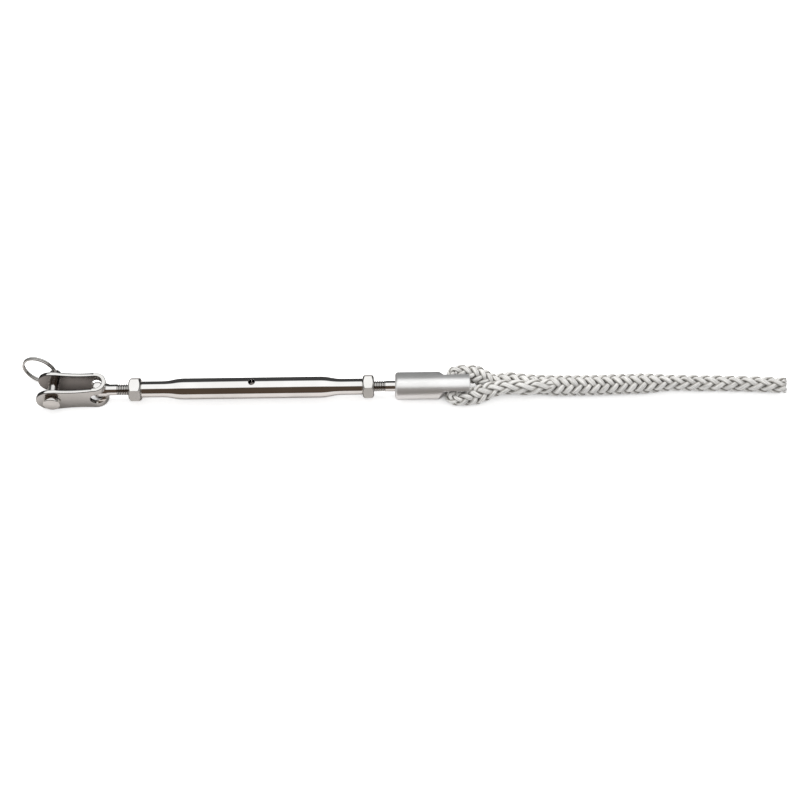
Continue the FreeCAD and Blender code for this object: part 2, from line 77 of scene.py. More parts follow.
view = {
    "target": (0.1069, -0.0124, 0.0),  # metres, as the distance
    "elevation": 55,
    "distance": 1.25,
    "lens": 78.1,
    "roll": 0.77,  # the axis rises a little to the right
}


def newObject(name, data):
    item = bpy.data.objects.new(name, data)
    bpy.context.scene.collection.objects.link(item)
    return item


def addCamera():
    data = bpy.data.cameras.new("camera")
    data.lens = view["lens"]
    camera = newObject("camera", data)
    up = radians(view["elevation"])
    back = Vector((0, -cos(up), sin(up)))
    camera.location = Vector(view["target"]) + back * view["distance"]
    turn = Matrix((xAxis, back.cross(xAxis), back)).transposed()
    camera.rotation_euler = (turn @ Matrix.Rotation(radians(-view["roll"]), 3, "Z")).to_euler()
    bpy.context.scene.camera = camera


addCamera()

# Meshes and pieces

joining = {"near": 2e-6, "thin": 1e-6, "flatWithin": 0.3}  # two distances in metres and an angle
drillBit = {"sides": 64, "depth": 0.03}  # metres


def meshOf(name, bm):
    data = bpy.data.meshes.new(name)
    bm.to_mesh(data)
    bm.free()
    return data


def shade(bm, sharpOver, flatOver=1000):
    # faces larger than flatOver square millimetres are plane and stay flat
    for face in bm.faces:
        face.smooth = face.calc_area() < flatOver * mm * mm
    for edge in bm.edges:
        edge.smooth = len(edge.link_faces) == 2 and edge.calc_face_angle(pi) < radians(sharpOver)


def newPiece(name, node, bm):
    piece = newObject(name, meshOf(name, bm))
    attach(piece, bodyOf[node])
    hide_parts(node)
    return piece


def mergedNode(node):
    # a copy of the CAD node's triangles, joined up
    bm = bmesh.new()
    bm.from_mesh(frame["nodes"][node].data)
    bmesh.ops.remove_doubles(bm, verts=bm.verts, dist=joining["near"])
    bmesh.ops.dissolve_degenerate(bm, edges=bm.edges, dist=joining["thin"])
    bmesh.ops.dissolve_limit(bm, angle_limit=radians(joining["flatWithin"]), verts=bm.verts, edges=bm.edges)
    return bm


def sharpEdges(bm, over):
    return [edge for edge in bm.edges if edge.is_manifold and edge.calc_face_angle(0) > radians(over)]


def roundOff(bm, edges, width, segments=2):
    bmesh.ops.bevel(
        bm, geom=edges, offset=width * mm, offset_type="OFFSET", affect="EDGES",
        segments=segments, profile=0.5, clamp_overlap=True, material=-1,
    )


def turnedShape(profile, steps, pitch=0):
    # spins (x, radius) points about the X axis, or winds them when there is a pitch
    bm = bmesh.new()
    verts = [bm.verts.new((x * mm, 0, radius * mm)) for x, radius in profile]
    for a, b in zip(verts, verts[1:]):
        bm.edges.new((a, b))
    bmesh.ops.spin(
        bm, geom=bm.verts[:] + bm.edges[:], cent=(0, 0, 0), axis=(1, 0, 0),
        dvec=(pitch * mm / steps, 0, 0), angle=2 * pi, steps=steps, use_merge=pitch == 0,
    )
    bmesh.ops.remove_doubles(bm, verts=bm.verts, dist=joining["thin"])
    return bm


def roundedEnd(edge, outer, steps):
    # a quarter round from an end face at x = 0 out to the outer radius, without its first point
    angles = [radians(90 / steps * k) for k in range(1, steps + 1)]
    return [(edge * (1 - cos(a)), outer - edge * (1 - sin(a))) for a in angles]


def addTo(bm, other):
    data = meshOf("part", other)
    bm.from_mesh(data)
    bpy.data.meshes.remove(data)


def drill(radius, place):
    # a rod along the Z axis of place
    bm = bmesh.new()
    bmesh.ops.create_cone(
        bm, cap_ends=True, segments=drillBit["sides"], radius1=radius * mm, radius2=radius * mm,
        depth=drillBit["depth"], matrix=place,
    )
    return bm


def carved(piece, shape, operation="DIFFERENCE"):
    # the piece's mesh, cut by a closed shape
    tool = newObject("tool", meshOf("tool", shape))
    cut = piece.modifiers.new("cut", "BOOLEAN")
    cut.operation, cut.object, cut.solver = operation, tool, "EXACT"
    bpy.context.view_layer.update()
    shaped = bpy.data.meshes.new_from_object(piece.evaluated_get(bpy.context.evaluated_depsgraph_get()))
    piece.modifiers.clear()
    bpy.data.objects.remove(tool)
    bm = bmesh.new()
    bm.from_mesh(shaped)
    return bm


def reshape(piece, bm):
    bm.to_mesh(piece.data)
    bm.free()
    return piece


# The rope: one smooth route round the tongue and along the floor, with twelve strands braided round it.
# The tables give values by the place along X, with a smooth change from one to the next.

rope = {
    "eyeTurn": 22,  # the eye's plane, turned about the screw axis
    "eyeRoute": [(179, 4.4), (173, 4.4), (160, 10.8), (145.5, 10.8)],
    "floorRoute": [
        (200, 0.4, -2.0), (238, -0.5, -2.3), (276, 0.7, -2.2), (306, 1.5, -2.3),
        (326, 1.6, -4.1), (352, 1.2, -4.2), (386.5, -1.1, -4.2),
    ],
    "routeSteps": 24,
    "lays": [(140, 30), (172, 34), (186, 46), (210, 42), (226, 38), (270, 40), (322, 52), (390, 60)],
    "pinch": [(148, 0), (162, 1.8), (176, 2.4), (188, 0.5), (196, 0)],  # of the eye's two runs together
    "beside": [(4.5, 0), (8, 1)],  # the tongue, by the distance from the axis
    "offFloor": 1.04,  # of the rope's middle, as a share of its radius
    "step": 0.75,
    # in the throat of the splice the tail lies on the standing part, then goes in under its cover
    "tail": {
        "radii": [(140, 4.5), (150, 4.6), (162, 6.9), (176, 5.5), (192, 5.7), (200, 4.8)],
        "lift": [(156, 0), (176, 3.6), (192, 4.2), (197, 3.6), (200, 1.4)],
        "reach": [(160, 0), (200, 17)],  # on along the axis
        "bulge": 3.8,  # of the eye towards the terminal's shoulders, beside the tongue
        "bulgeFades": [(150, 1), (162, 0)],
        "pinchWay": 1,
    },
    "standing": {
        "radii": [
            (140, 4.5), (150, 4.6), (162, 6.9), (176, 6.0), (186, 7.4),
            (208, 7.3), (219, 7.7), (280, 7.6), (308, 5.9), (390, 5.7),
        ],
        "lift": [(156, 0), (176, -2.4), (208, -1.8), (220, 0)],
        "reach": [(160, 0)],
        "bulge": 2.2,
        "bulgeFades": [(150, 1), (158, 0)],
        "pinchWay": -1,
    },
}
strands = {
    "eachWay": 6,
    "sides": 15,
    "coverTurn": -10,  # brings the chevrons' meeting line round to the camera's side
    "thickness": 0.44,  # as a share of the rope's radius; the next three are shares of the thickness
    "inset": 1.02,
    "wave": 0.56,
    "waist": 0.52,  # how deep in the rope the strands touch each other
    "waveClip": 1.35,  # flattens the waves' tops
    "wavePhase": 0.5,
    "width": 0.96,  # of the room that it has, and how that changes along the strand
    "uneven": 0.05,
    "unevenStep": 0.31,
    "unevenShift": 2.3,
    "grainShift": (37, 19),  # sets the grain of each strand and way apart
    "sharpOver": 60,
}
fray = {
    "fibres": 120,  # at the bare end
    "seed": 5,
    "sides": 5,
    "reach": (0.3, 0.95),  # as a share of the rope's radius
    "droop": -0.2,
    "spread": (-0.1, 0.45),
    "length": (1.4, 3.2),
    "taper": [(0, 0.14), (0.6, 0.11), (1, 0.05)],  # share of the length, and radius there
}


def ropeRoute():
    # the tail's end inside the splice, round the tongue through its hole, and along the floor
    turn = Matrix.Rotation(radians(rope["eyeTurn"]), 3, "X")
    there = [turn @ Vector((x, -y, 0)) for x, y in rope["eyeRoute"]]
    back = [turn @ Vector((x, y, 0)) for x, y in reversed(rope["eyeRoute"])]
    standing = [Vector(place) for place in rope["floorRoute"]]
    return [point * mm for point in standing[:1] + there + back + standing]


def smoothPath(points):
    # the points of a NURBS spline with these control points
    data = bpy.data.curves.new("route", "CURVE")
    data.dimensions, data.resolution_u = "3D", rope["routeSteps"]
    spline = data.splines.new("NURBS")
    spline.points.add(len(points) - 1)
    for place, point in zip(spline.points, points):
        place.co = (*point, 1)
    spline.order_u, spline.use_endpoint_u = 3, True
    curve = newObject("route", data)
    line = bpy.data.meshes.new_from_object(curve)
    path = [vert.co.copy() for vert in line.vertices]
    bpy.data.objects.remove(curve)
    return path


def evenSteps(path, step):
    places, left = [path[0]], step
    for start, end in zip(path, path[1:]):
        run, along = (end - start).length, left
        while along <= run:
            places.append(start.lerp(end, along / run))
            along += step
        left = along - run
    return places


def readTable(table, x):
    for (x0, a), (x1, b) in zip(table, table[1:]):
        if x <= x1:
            part = min(max((x - x0) / (x1 - x0), 0), 1)
            return a + (b - a) * part * part * (3 - 2 * part)
    return table[-1][1]


def shifted(place, run):
    # a place on the route, moved as the rope lies there
    x = place.x / mm
    up, lean = radians(view["elevation"]), radians(rope["eyeTurn"])
    lift = readTable(run["lift"], x)
    beside = readTable(rope["beside"], abs(place.y) / mm)
    reach = readTable(run["reach"], x) - run["bulge"] * beside * readTable(run["bulgeFades"], x)
    pinch = readTable(rope["pinch"], x) * run["pinchWay"]
    offset = Vector((reach, cos(lean) * pinch - cos(up) * lift, sin(lean) * pinch + sin(up) * lift))
    moved = place + offset * mm
    radius = readTable(run["radii"], x) * mm
    moved.z = max(moved.z, floorHeight + rope["offFloor"] * radius)
    return moved


def ropeStations(path):
    # at each step: the place, the way along, the way out, the rope's radius and the strands' turns so far
    hole = min(range(len(path)), key=lambda i: path[i].x)
    runs = [rope["tail" if i < hole else "standing"] for i in range(len(path))]
    places = [shifted(place, run) for place, run in zip(path, runs)]
    ways = [(b - a).normalized() for a, b in zip(places[:1] + places, places[1:] + places[-1:])]
    stations, out, turns = [], zAxis, 0.0
    for i in range(len(places) - 1, -1, -1):
        out = (out - ways[i] * out.dot(ways[i])).normalized()
        x = path[i].x / mm
        radius = readTable(runs[i]["radii"], x)
        turns -= rope["step"] / readTable(rope["lays"], x)
        stations.append((places[i], ways[i], out.copy(), radius * mm, turns))
    return stations[::-1]


def strandRings(stations, strand, way):
    # one matrix for each ring of a strand, which passes over two crossing strands and under two
    count, cover = strands["eachWay"], radians(strands["coverTurn"])
    centres, outs = [], []
    for place, along, out, radius, turns in stations:
        angle = way * 2 * pi * turns + 2 * pi * strand / count + cover
        crossing = 2 * strand + way * 2 * count * turns
        height = strands["waveClip"] * cos(pi / 2 * (crossing - strands["wavePhase"]))
        wave = way * max(-1, min(1, height))
        outward = out * cos(angle) + along.cross(out) * sin(angle)
        thick = strands["thickness"] * radius
        centres.append(place + outward * (radius - strands["inset"] * thick + wave * strands["wave"] * thick))
        outs.append(outward)
    rings = []
    for i, centre in enumerate(centres):
        ahead = (centres[min(i + 1, len(centres) - 1)] - centres[max(i - 1, 0)]).normalized()
        across = ahead.cross(outs[i]).normalized()
        radius = stations[i][3]
        thick = strands["thickness"] * radius
        slope = abs(ahead.dot(stations[i][1]))
        change = sin(strands["unevenStep"] * i + strands["unevenShift"] * strand)
        share = strands["width"] + strands["uneven"] * change
        wide = 2 * pi * (radius - strands["waist"] * thick) / count * slope * share
        turn = Matrix((across * wide / 2, across.cross(ahead) * thick / 2, ahead)).transposed().to_4x4()
        rings.append(Matrix.Translation(centre) @ turn)
    return rings


def sweepRings(rings, sides):
    # a closed tube through the rings; the grain attribute keeps each vertex's place in the strand
    bm = bmesh.new()
    grain = bm.verts.layers.float_vector.new("grain")
    circle = bmesh.ops.create_circle(bm, cap_ends=True, segments=sides, radius=1, matrix=Matrix.Identity(4))
    for vert in circle["verts"]:
        vert[grain] = (0, vert.co.x, vert.co.y)
    bmesh.ops.transform(bm, verts=circle["verts"], matrix=rings[0])
    edges = bm.edges[:]
    for i, (last, ring) in enumerate(zip(rings, rings[1:]), start=1):
        made = bmesh.ops.extrude_edge_only(bm, edges=edges)["geom"]
        verts = [item for item in made if isinstance(item, bmesh.types.BMVert)]
        edges = [item for item in made if isinstance(item, bmesh.types.BMEdge)]
        bmesh.ops.transform(bm, verts=verts, matrix=ring @ last.inverted())
        fresh = set(verts)
        edges = [edge for edge in edges if edge.verts[0] in fresh and edge.verts[1] in fresh]
        for vert in verts:
            vert[grain] = (i * rope["step"], vert[grain][1], vert[grain][2])
    bmesh.ops.contextual_create(bm, geom=edges)
    bmesh.ops.recalc_face_normals(bm, faces=bm.faces)
    return bm


def addStrands(whole, stations):
    ofStrand, ofWay = strands["grainShift"]
    for way in (1, -1):
        for strand in range(strands["eachWay"]):
            bm = sweepRings(strandRings(stations, strand, way), strands["sides"])
            grain = bm.verts.layers.float_vector["grain"]
            for vert in bm.verts:
                vert[grain] = Vector(vert[grain]) + Vector((ofStrand * strand + ofWay * way, 0, 0))
            addTo(whole, bm)


def addFibres(whole, station):
    # short cut fibres, which stand out of the bare end
    end, ahead, out, radius = station[:4]
    chance = Random(fray["seed"])
    for _ in range(fray["fibres"]):
        angle, reach = chance.uniform(0, 2 * pi), radius * chance.uniform(*fray["reach"])
        outward = Matrix.Rotation(angle, 3, ahead) @ out
        start = end + outward * reach - ahead * mm
        outward.z = max(outward.z, fray["droop"])
        way = (ahead + outward * chance.uniform(*fray["spread"])).normalized()
        way = way * chance.uniform(*fray["length"]) * mm
        face = way.to_track_quat("Z", "Y").to_matrix().to_4x4()
        rings = [
            Matrix.Translation(start + way * part) @ face @ Matrix.Scale(thick * mm, 4)
            for part, thick in fray["taper"]
        ]
        addTo(whole, sweepRings(rings, fray["sides"]))


def makeRope():
    path = evenSteps(smoothPath(ropeRoute()), rope["step"] * mm)
    stations = ropeStations(path)
    whole = bmesh.new()
    addStrands(whole, stations)
    addFibres(whole, stations[-1])
    shade(whole, strands["sharpOver"])
    piece = newPiece("rope_strands", "spliced_rope", whole)
    return piece


ropePiece = makeRope()

# The barrel

barrel = {
    "length": 160, "radius": 7.65, "neck": 5.85, "neckLength": 14.5, "flare": 16.6, "bore": 4.05,
    "edge": 0.6, "edgeSteps": 6, "flareSteps": 28, "steps": 144,
    "hole": 2.5, "holeEdge": 0.35, "holeEdgeSteps": 3,
    "rim": {"sharpOver": 50, "reach": 4, "radius": 7},  # where the hole's edges are found
    "sharpOver": 40,
}


def barrelProfile():
    # from the left end's bore, over the outside to the middle
    edge, neck, full = barrel["edge"], barrel["neck"], barrel["radius"]
    flare, start, steps = barrel["flare"], barrel["neckLength"], barrel["flareSteps"]
    points = [(0, barrel["bore"] + edge), (0, neck - edge)] + roundedEnd(edge, neck, barrel["edgeSteps"])
    for k in range(steps + 1):
        part = k / steps
        rise = 2 * part * part if part < 0.5 else 1 - 2 * (1 - part) ** 2
        points.append((start + flare * part, neck + (full - neck) * rise))
    return points


def makeBarrel():
    half, bore = barrel["length"] / 2, barrel["bore"]
    inner = half - barrel["edge"]  # where the bore starts
    left = [(x - half, radius) for x, radius in barrelProfile()]
    right = [(-x, radius) for x, radius in reversed(left)]
    bm = turnedShape(left + right + [(inner, bore), (-inner, bore)] + left[:1], barrel["steps"])
    bmesh.ops.recalc_face_normals(bm, faces=bm.faces)
    piece = newPiece("barrel_body", "turnbuckle_barrel", bm)
    bm = carved(piece, drill(barrel["hole"], Matrix.Identity(4)))
    rim, rimEdges = barrel["rim"], []
    for edge in sharpEdges(bm, rim["sharpOver"]):
        corner = edge.verts[0].co
        if abs(corner.x) < rim["reach"] * mm and corner.yz.length > rim["radius"] * mm:
            rimEdges.append(edge)
    roundOff(bm, rimEdges, barrel["holeEdge"], barrel["holeEdgeSteps"])
    shade(bm, barrel["sharpOver"])
    return reshape(piece, bm)


barrelPiece = makeBarrel()
print("barrel turned")

# The studs, with rolled threads on the CAD's plain shanks

thread = {
    "pitch": 1.25, "crest": 4.0, "root": 3.25, "steps": 36,
    # one turn: share of the pitch, level
    "turn": [(0, "root"), (0.1, "root"), (0.36, "crest"), (0.64, "crest"), (0.9, "root")],
}
stud = {
    "edge": 0.25, "roundOver": 35, "tip": 0.8, "tipSteps": 48, "sharpOver": 40,
    "threadEnds": 2, "plainStarts": 3,  # turns before the stud's end
}
toggleStud = {"threadStart": -97.7, "end": -30}
terminalStud = {"threadStart": 96.4, "end": 30}


def threadedLength(start, end, leftHanded=False):
    # a wound thread between two places on the axis, open at both ends
    pitch = thread["pitch"]
    count = int((end - start) / pitch)
    profile = [
        (start + (k + part) * pitch, thread[level])
        for k in range(count) for part, level in thread["turn"]
    ]
    profile.append((start + count * pitch, thread["root"]))
    bm = turnedShape(profile, thread["steps"], pitch)
    if leftHanded:
        bmesh.ops.scale(bm, verts=bm.verts, vec=(1, -1, 1))
        bmesh.ops.reverse_faces(bm, faces=bm.faces)
    return bm


def makeStud(name, node, size, outward):
    # the plain part comes from the CAD node; outward is the way from the thread to it
    pitch, crest, tip = thread["pitch"], thread["crest"], stud["tip"]
    start, end = size["threadStart"], size["end"]
    bm = mergedNode(node)
    bmesh.ops.bisect_plane(
        bm, geom=bm.verts[:] + bm.edges[:] + bm.faces[:], plane_co=(start * mm, 0, 0),
        plane_no=(-outward, 0, 0), clear_outer=True,
    )
    bmesh.ops.holes_fill(bm, edges=[edge for edge in bm.edges if edge.is_boundary])
    roundOff(bm, sharpEdges(bm, stud["roundOver"]), stud["edge"])
    low, high = sorted((start + outward * pitch, end + outward * stud["threadEnds"] * pitch))
    addTo(bm, threadedLength(low, high - pitch, leftHanded=outward == 1))
    inner, chamfer = end + outward * stud["plainStarts"] * pitch, end + outward * tip
    profile = [(inner, 0), (inner, crest), (chamfer, crest), (end, crest - tip), (end, 0)]
    addTo(bm, turnedShape(profile, stud["tipSteps"]))
    bmesh.ops.recalc_face_normals(bm, faces=bm.faces)
    shade(bm, stud["sharpOver"])
    return newPiece(name, node, bm)


toggleStudPiece = makeStud("toggle_stud_threaded", "toggle_stud", toggleStud, -1)
terminalStudPiece = makeStud("terminal_stud_threaded", "terminal_stud", terminalStud, 1)
print("studs threaded")

# The strap, ring and terminal keep their CAD shapes, with broken edges or a slightly thicker wire

dress = {"roundOver": 35, "sharpOver": 40, "flatOver": 30}


def dressed(name, node, width=0, swell=0):
    # width is of the broken edges; swell thickens the piece, but not into the floor
    bm = mergedNode(node)
    if width:
        roundOff(bm, sharpEdges(bm, dress["roundOver"]), width)
    bm.normal_update()
    outward = {vert: vert.normal * swell * mm for vert in bm.verts}
    for vert, way in outward.items():
        vert.co += way
        vert.co.z = max(vert.co.z, floorHeight)
    shade(bm, dress["sharpOver"], dress["flatOver"])
    return newPiece(name, node, bm)


strapPiece = dressed("strap_folded", "toggle_strap", width=0.45)
ringPiece = dressed("ring_wound", "split_ring", swell=0.13)
terminalPiece = dressed("terminal_turned", "rope_terminal", width=0.25)
print("steel pieces dressed")

# The lock nuts: the CAD's hexagons, chamfered all round their ends by a double cone

nut = {
    "faceRadius": 6.9, "slope": 1.4, "beyond": 1, "steps": 120,
    "edge": 0.12, "roundOver": 20, "sharpOver": 25, "flatOver": 30,
    "near": 1e-5,  # metres
}


def makeNut(name, node):
    piece = newPiece(name, node, mergedNode(node))
    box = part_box(node)
    start, end = box[0][0] / mm, box[1][0] / mm
    face, slope, beyond, middle = nut["faceRadius"], nut["slope"], nut["beyond"], (start + end) / 2
    small, large = face - slope * beyond, face + slope * (middle - start)
    low, high = start - beyond, end + beyond
    profile = [(low, 0), (low, small), (middle, large), (high, small), (high, 0)]
    cones = turnedShape(profile, nut["steps"])
    bmesh.ops.recalc_face_normals(cones, faces=cones.faces)
    bm = carved(piece, cones, "INTERSECT")
    bmesh.ops.remove_doubles(bm, verts=bm.verts, dist=nut["near"])
    roundOff(bm, sharpEdges(bm, nut["roundOver"]), nut["edge"])
    shade(bm, nut["sharpOver"], nut["flatOver"])
    return reshape(piece, bm)


nutPieces = [makeNut("left_nut_hexagon", "left_lock_nut"), makeNut("right_nut_hexagon", "right_lock_nut")]

# The clevis pin

pin = {
    "radius": 4, "length": 29.6, "headRadius": 6.25, "headThick": 3.2, "headEdge": 0.7, "headEdgeSteps": 4,
    "crown": 0.25, "crownFades": (0.5, 0.7),  # shares of the head's radius and of the crown's height there
    "backEdge": 0.3, "steps": 96, "sharpOver": 40,
    "tip": [(0.9, 0), (0.2, 0.72), (0, 1.1)],  # before the end, in from the shank's radius
    "hole": 1.7, "holePlace": (-0.1442, 0.013391, 0), "holeLean": 14.73,  # the place is in metres
}


def pinProfile():
    # from the head's middle, over its edge and along the shank to the tip's middle
    head, radius, length = pin["headRadius"], pin["radius"], pin["length"]
    edge, back, thick = pin["headEdge"], pin["backEdge"], pin["headThick"]
    out, down = pin["crownFades"]
    points = [(-pin["crown"], 0), (-pin["crown"] * down, head * out), (0, head - edge)]
    points += roundedEnd(edge, head, pin["headEdgeSteps"])
    points += [(thick - back, head), (thick, head - back), (thick, radius)]
    points += [(length - before, radius - inward) for before, inward in pin["tip"]]
    return points + [(length, 0)]


def makePin():
    # turned about X, then stood along Y behind its head, with the cross hole where the ring goes through
    bm = turnedShape(pinProfile(), pin["steps"])
    bmesh.ops.recalc_face_normals(bm, faces=bm.faces)
    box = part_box("clevis_pin")
    place = Vector(((box[0][0] + box[1][0]) / 2, box[0][1], (box[0][2] + box[1][2]) / 2))
    stand = Matrix.Translation(place) @ Matrix.Rotation(pi / 2, 4, "Z")
    bmesh.ops.transform(bm, verts=bm.verts, matrix=stand)
    piece = newPiece("pin_turned", "clevis_pin", bm)
    lean = Matrix.Translation(pin["holePlace"]) @ Matrix.Rotation(radians(pin["holeLean"]), 4, "Y")
    bm = carved(piece, drill(pin["hole"], lean))
    shade(bm, pin["sharpOver"])
    return reshape(piece, bm)


pinPiece = makePin()

# Materials

white = (1, 1, 1, 1)


def newMaterial(name):
    material = bpy.data.materials.new(name)
    material.use_nodes = True
    tree = material.node_tree
    return material, tree, tree.nodes["Principled BSDF"]


def feed(tree, node, inputs):
    # each input takes a value, or the output of another node
    for key, value in inputs.items():
        if isinstance(value, bpy.types.NodeSocket):
            tree.links.new(value, node.inputs[key])
        else:
            node.inputs[key].default_value = value
    return node


def addNode(tree, kind, inputs=None, **settings):
    node = tree.nodes.new("ShaderNode" + kind)
    for key, value in settings.items():
        setattr(node, key, value)
    return feed(tree, node, inputs or {})


def calculate(tree, operation, *values):
    return addNode(tree, "Math", dict(enumerate(values)), operation=operation).outputs["Value"]


def mixed(tree, share, first, second, blend="MIX"):
    inputs = {"Fac": share, "Color1": first, "Color2": second}
    return addNode(tree, "MixRGB", inputs, blend_type=blend).outputs["Color"]


def stretchedNoise(tree, scale, stretch=(1, 1, 1), detail=3, attribute=None):
    # noise drawn out along the axes where stretch is small
    if attribute:
        source = addNode(tree, "Attribute", attribute_name=attribute).outputs["Vector"]
    else:
        source = addNode(tree, "TexCoord").outputs["Object"]
    place = addNode(tree, "Mapping", {"Vector": source, "Scale": stretch}).outputs["Vector"]
    return addNode(tree, "TexNoise", {"Vector": place, "Scale": scale, "Detail": detail}).outputs["Fac"]


def remap(tree, value, low, high, fromLow=0.3, fromHigh=0.7):
    inputs = {"Value": value, "From Min": fromLow, "From Max": fromHigh, "To Min": low, "To Max": high}
    return addNode(tree, "MapRange", inputs).outputs["Result"]


metal = {
    "grainScale": 900, "grainDetail": 4, "cloudScale": 60,
    "bothFrom": (0.7, 1.3),  # the range of the grain and clouds together
    "darker": (0.9, 0.9, 0.89),  # where the clouds are thin
}


def steel(name, tint, roughness, spread, marks, lean=0, metallic=1):
    # stainless steel: tint, roughness and its spread, and the way its polishing marks run
    material, tree, surface = newMaterial(name)
    grain = stretchedNoise(tree, metal["grainScale"], marks, metal["grainDetail"])
    clouds = stretchedNoise(tree, metal["cloudScale"])
    both = calculate(tree, "ADD", grain, clouds)
    dark = [level * share for level, share in zip(tint, metal["darker"])]
    feed(tree, surface, {
        "Metallic": metallic,
        "Roughness": remap(tree, both, roughness - spread, roughness + spread, *metal["bothFrom"]),
        "Base Color": mixed(tree, remap(tree, clouds, 0, 1), (*dark, 1), (*tint, 1)),
    })
    if lean:  # of the mirrored stripes round the piece
        normal = addNode(tree, "NewGeometry").outputs["Normal"]
        inputs = {"Vector": normal, "Angle": radians(lean)}
        turn = addNode(tree, "VectorRotate", inputs, rotation_type="X_AXIS")
        feed(tree, surface, {"Normal": turn.outputs["Vector"]})
    return material


fibre = {
    "grain": (0.25, 7, 7), "patchScale": 130,
    "lightness": (0.42, 1.0, 0.3, 0.6), "patches": (0.86, 1.0),
    "warm": (1, 0.985, 0.955, 1),
    "grooveShade": (0.38, 0.365, 0.34, 1), "grooveShadeFrom": 0.62,  # painted shade, darker and greyer towards a strand's edges
    "depth": 0.006, "deep": (0.45, 1, 0.05, 0.4),  # painted shade: darker where other strands are near, found by ambient occlusion within depth, in metres
    "roughness": 0.62, "sheen": 0.25,
    "bump": 0.6, "bumpHeight": 0.00025,
}


def ropeFibre():
    material, tree, surface = newMaterial("rope_fibre_braid")
    fibres = stretchedNoise(tree, 1, fibre["grain"], attribute="grain")
    light = remap(tree, fibres, *fibre["lightness"])
    patches = remap(tree, stretchedNoise(tree, fibre["patchScale"]), *fibre["patches"])
    warm = mixed(tree, 1, mixed(tree, 1, light, patches, "MULTIPLY"), fibre["warm"], "MULTIPLY")
    # painted shade in the grooves between strands: the colour goes greyer towards each strand's edges
    place = addNode(tree, "Attribute", attribute_name="grain").outputs["Vector"]
    across = calculate(tree, "ABSOLUTE", addNode(tree, "SeparateXYZ", {0: place}).outputs["Y"])
    edges = mixed(tree, remap(tree, across, 0, 1, fibre["grooveShadeFrom"], 1), warm, fibre["grooveShade"], "MULTIPLY")
    # painted shade: ambient occlusion darkens the colour where other strands are near
    openness = addNode(tree, "AmbientOcclusion", {"Distance": fibre["depth"]}).outputs["AO"]
    deep = remap(tree, openness, *fibre["deep"])
    relief = {"Strength": fibre["bump"], "Distance": fibre["bumpHeight"], "Height": fibres}
    feed(tree, surface, {
        "Base Color": mixed(tree, 1, edges, deep, "MULTIPLY"),
        "Roughness": fibre["roughness"],
        "Sheen Weight": fibre["sheen"],
        "Normal": addNode(tree, "Bump", relief).outputs["Normal"],
    })
    return material


# tint, roughness, its spread and the scale of the marks by axis, then the lean and metallic where they differ
looks = {
    "barrel_mirror_chrome": ((0.98, 0.97, 0.96), 0.04, 0.015, (0.03, 1, 1)),
    "stud_rolled_steel": ((0.95, 0.94, 0.93), 0.07, 0.03, (1, 0.2, 0.2)),
    # painted shade: a dark tint in the thread's grooves
    "thread_groove_painted_shade": ((0.42, 0.41, 0.39), 0.16, 0.03, (1, 0.2, 0.2)),
    "strap_satin_steel": ((0.68, 0.672, 0.655), 0.13, 0.03, (0.12, 1, 1)),
    # painted highlight: a lighter tint on the edge faces that point up and down
    "strap_flat_edge_painted_highlight": ((0.93, 0.92, 0.90), 0.08, 0.03, (0.2, 1, 1)),
    # painted shade on the legs' inner faces, inside the jaw
    "strap_inside_painted_shade": ((0.34, 0.32, 0.305), 0.16, 0.03, (0.12, 1, 1)),
    # painted dark reflection on the rounded edges
    "strap_rounded_edge_painted_reflection": ((0.15, 0.145, 0.14), 0.14, 0.03, (0.2, 1, 1)),
    "pin_satin_steel": ((0.80, 0.79, 0.77), 0.10, 0.03, (1, 0.1, 1)),
    "ring_bright_steel": ((0.68, 0.67, 0.655), 0.06, 0.02, (1, 1, 1)),
    "nut_bright_steel": ((0.99, 0.98, 0.96), 0.08, 0.03, (0.2, 1, 1)),
    # painted shade on the chamfers and on the face towards the camera
    "nut_painted_shade": ((0.56, 0.555, 0.54), 0.14, 0.03, (0.2, 1, 1)),
    "terminal_satin_grey": ((1.0, 1.0, 1.0), 0.34, 0.01, (1, 0.08, 0.08), -9, 0.8),
}
# where a piece's painted shade, highlight and reflection lie: limits of a face's normal, and of its depth
# below the crests
limits = {
    "grooveDepth": (0.2, 1), "threadEnd": 0.98,
    "level": 0.97, "rounded": 0.25,
    "chamfer": (0.3, 0.95), "front": -0.8, "frontEnd": 0.1,
}


# faces deep in a thread's groove take its painted shade
def grooveShadePart(face):
    low, high = limits["grooveDepth"]
    depth = thread["crest"] * mm - face.center.yz.length
    return 1 if low * mm < depth < high * mm and abs(face.normal.x) < limits["threadEnd"] else 0


# a face's strap material: 1 painted highlight on flat edge faces, 3 painted dark reflection on rounded edges,
# 2 painted shade on inner faces, else plain satin
def strapPart(face):
    if abs(face.normal.z) > limits["level"]:
        return 1
    if abs(face.normal.z) > limits["rounded"]:
        return 3
    return 2 if face.normal.y * face.center.y < 0 else 0


# the chamfers and the face towards the camera take the painted shade
def nutPart(face):
    low, high = limits["chamfer"]
    chamfer = low < abs(face.normal.x) < high
    return 1 if chamfer or face.normal.y < limits["front"] and abs(face.normal.x) < limits["frontEnd"] else 0


def finish(pieces, names, partOf=None):
    # partOf gives the place of a face's material in names
    materials = [steel(name, *looks[name]) for name in names]
    for piece in pieces:
        for material in materials:
            piece.data.materials.append(material)
        for face in piece.data.polygons:
            face.material_index = partOf(face) if partOf else 0


ropePiece.data.materials.append(ropeFibre())
finish([barrelPiece], ["barrel_mirror_chrome"])
finish([toggleStudPiece, terminalStudPiece], ["stud_rolled_steel", "thread_groove_painted_shade"], grooveShadePart)
finish(
    [strapPiece],
    ["strap_satin_steel", "strap_flat_edge_painted_highlight", "strap_inside_painted_shade", "strap_rounded_edge_painted_reflection"],
    strapPart,
)
finish([pinPiece], ["pin_satin_steel"])
finish([ringPiece], ["ring_bright_steel"])
finish(nutPieces, ["nut_bright_steel", "nut_painted_shade"], nutPart)
finish([terminalPiece], ["terminal_satin_grey"])
print("materials made")

# Studio: reflections come from the world by their height in the YZ-plane,
# which draws the stripes on round metal

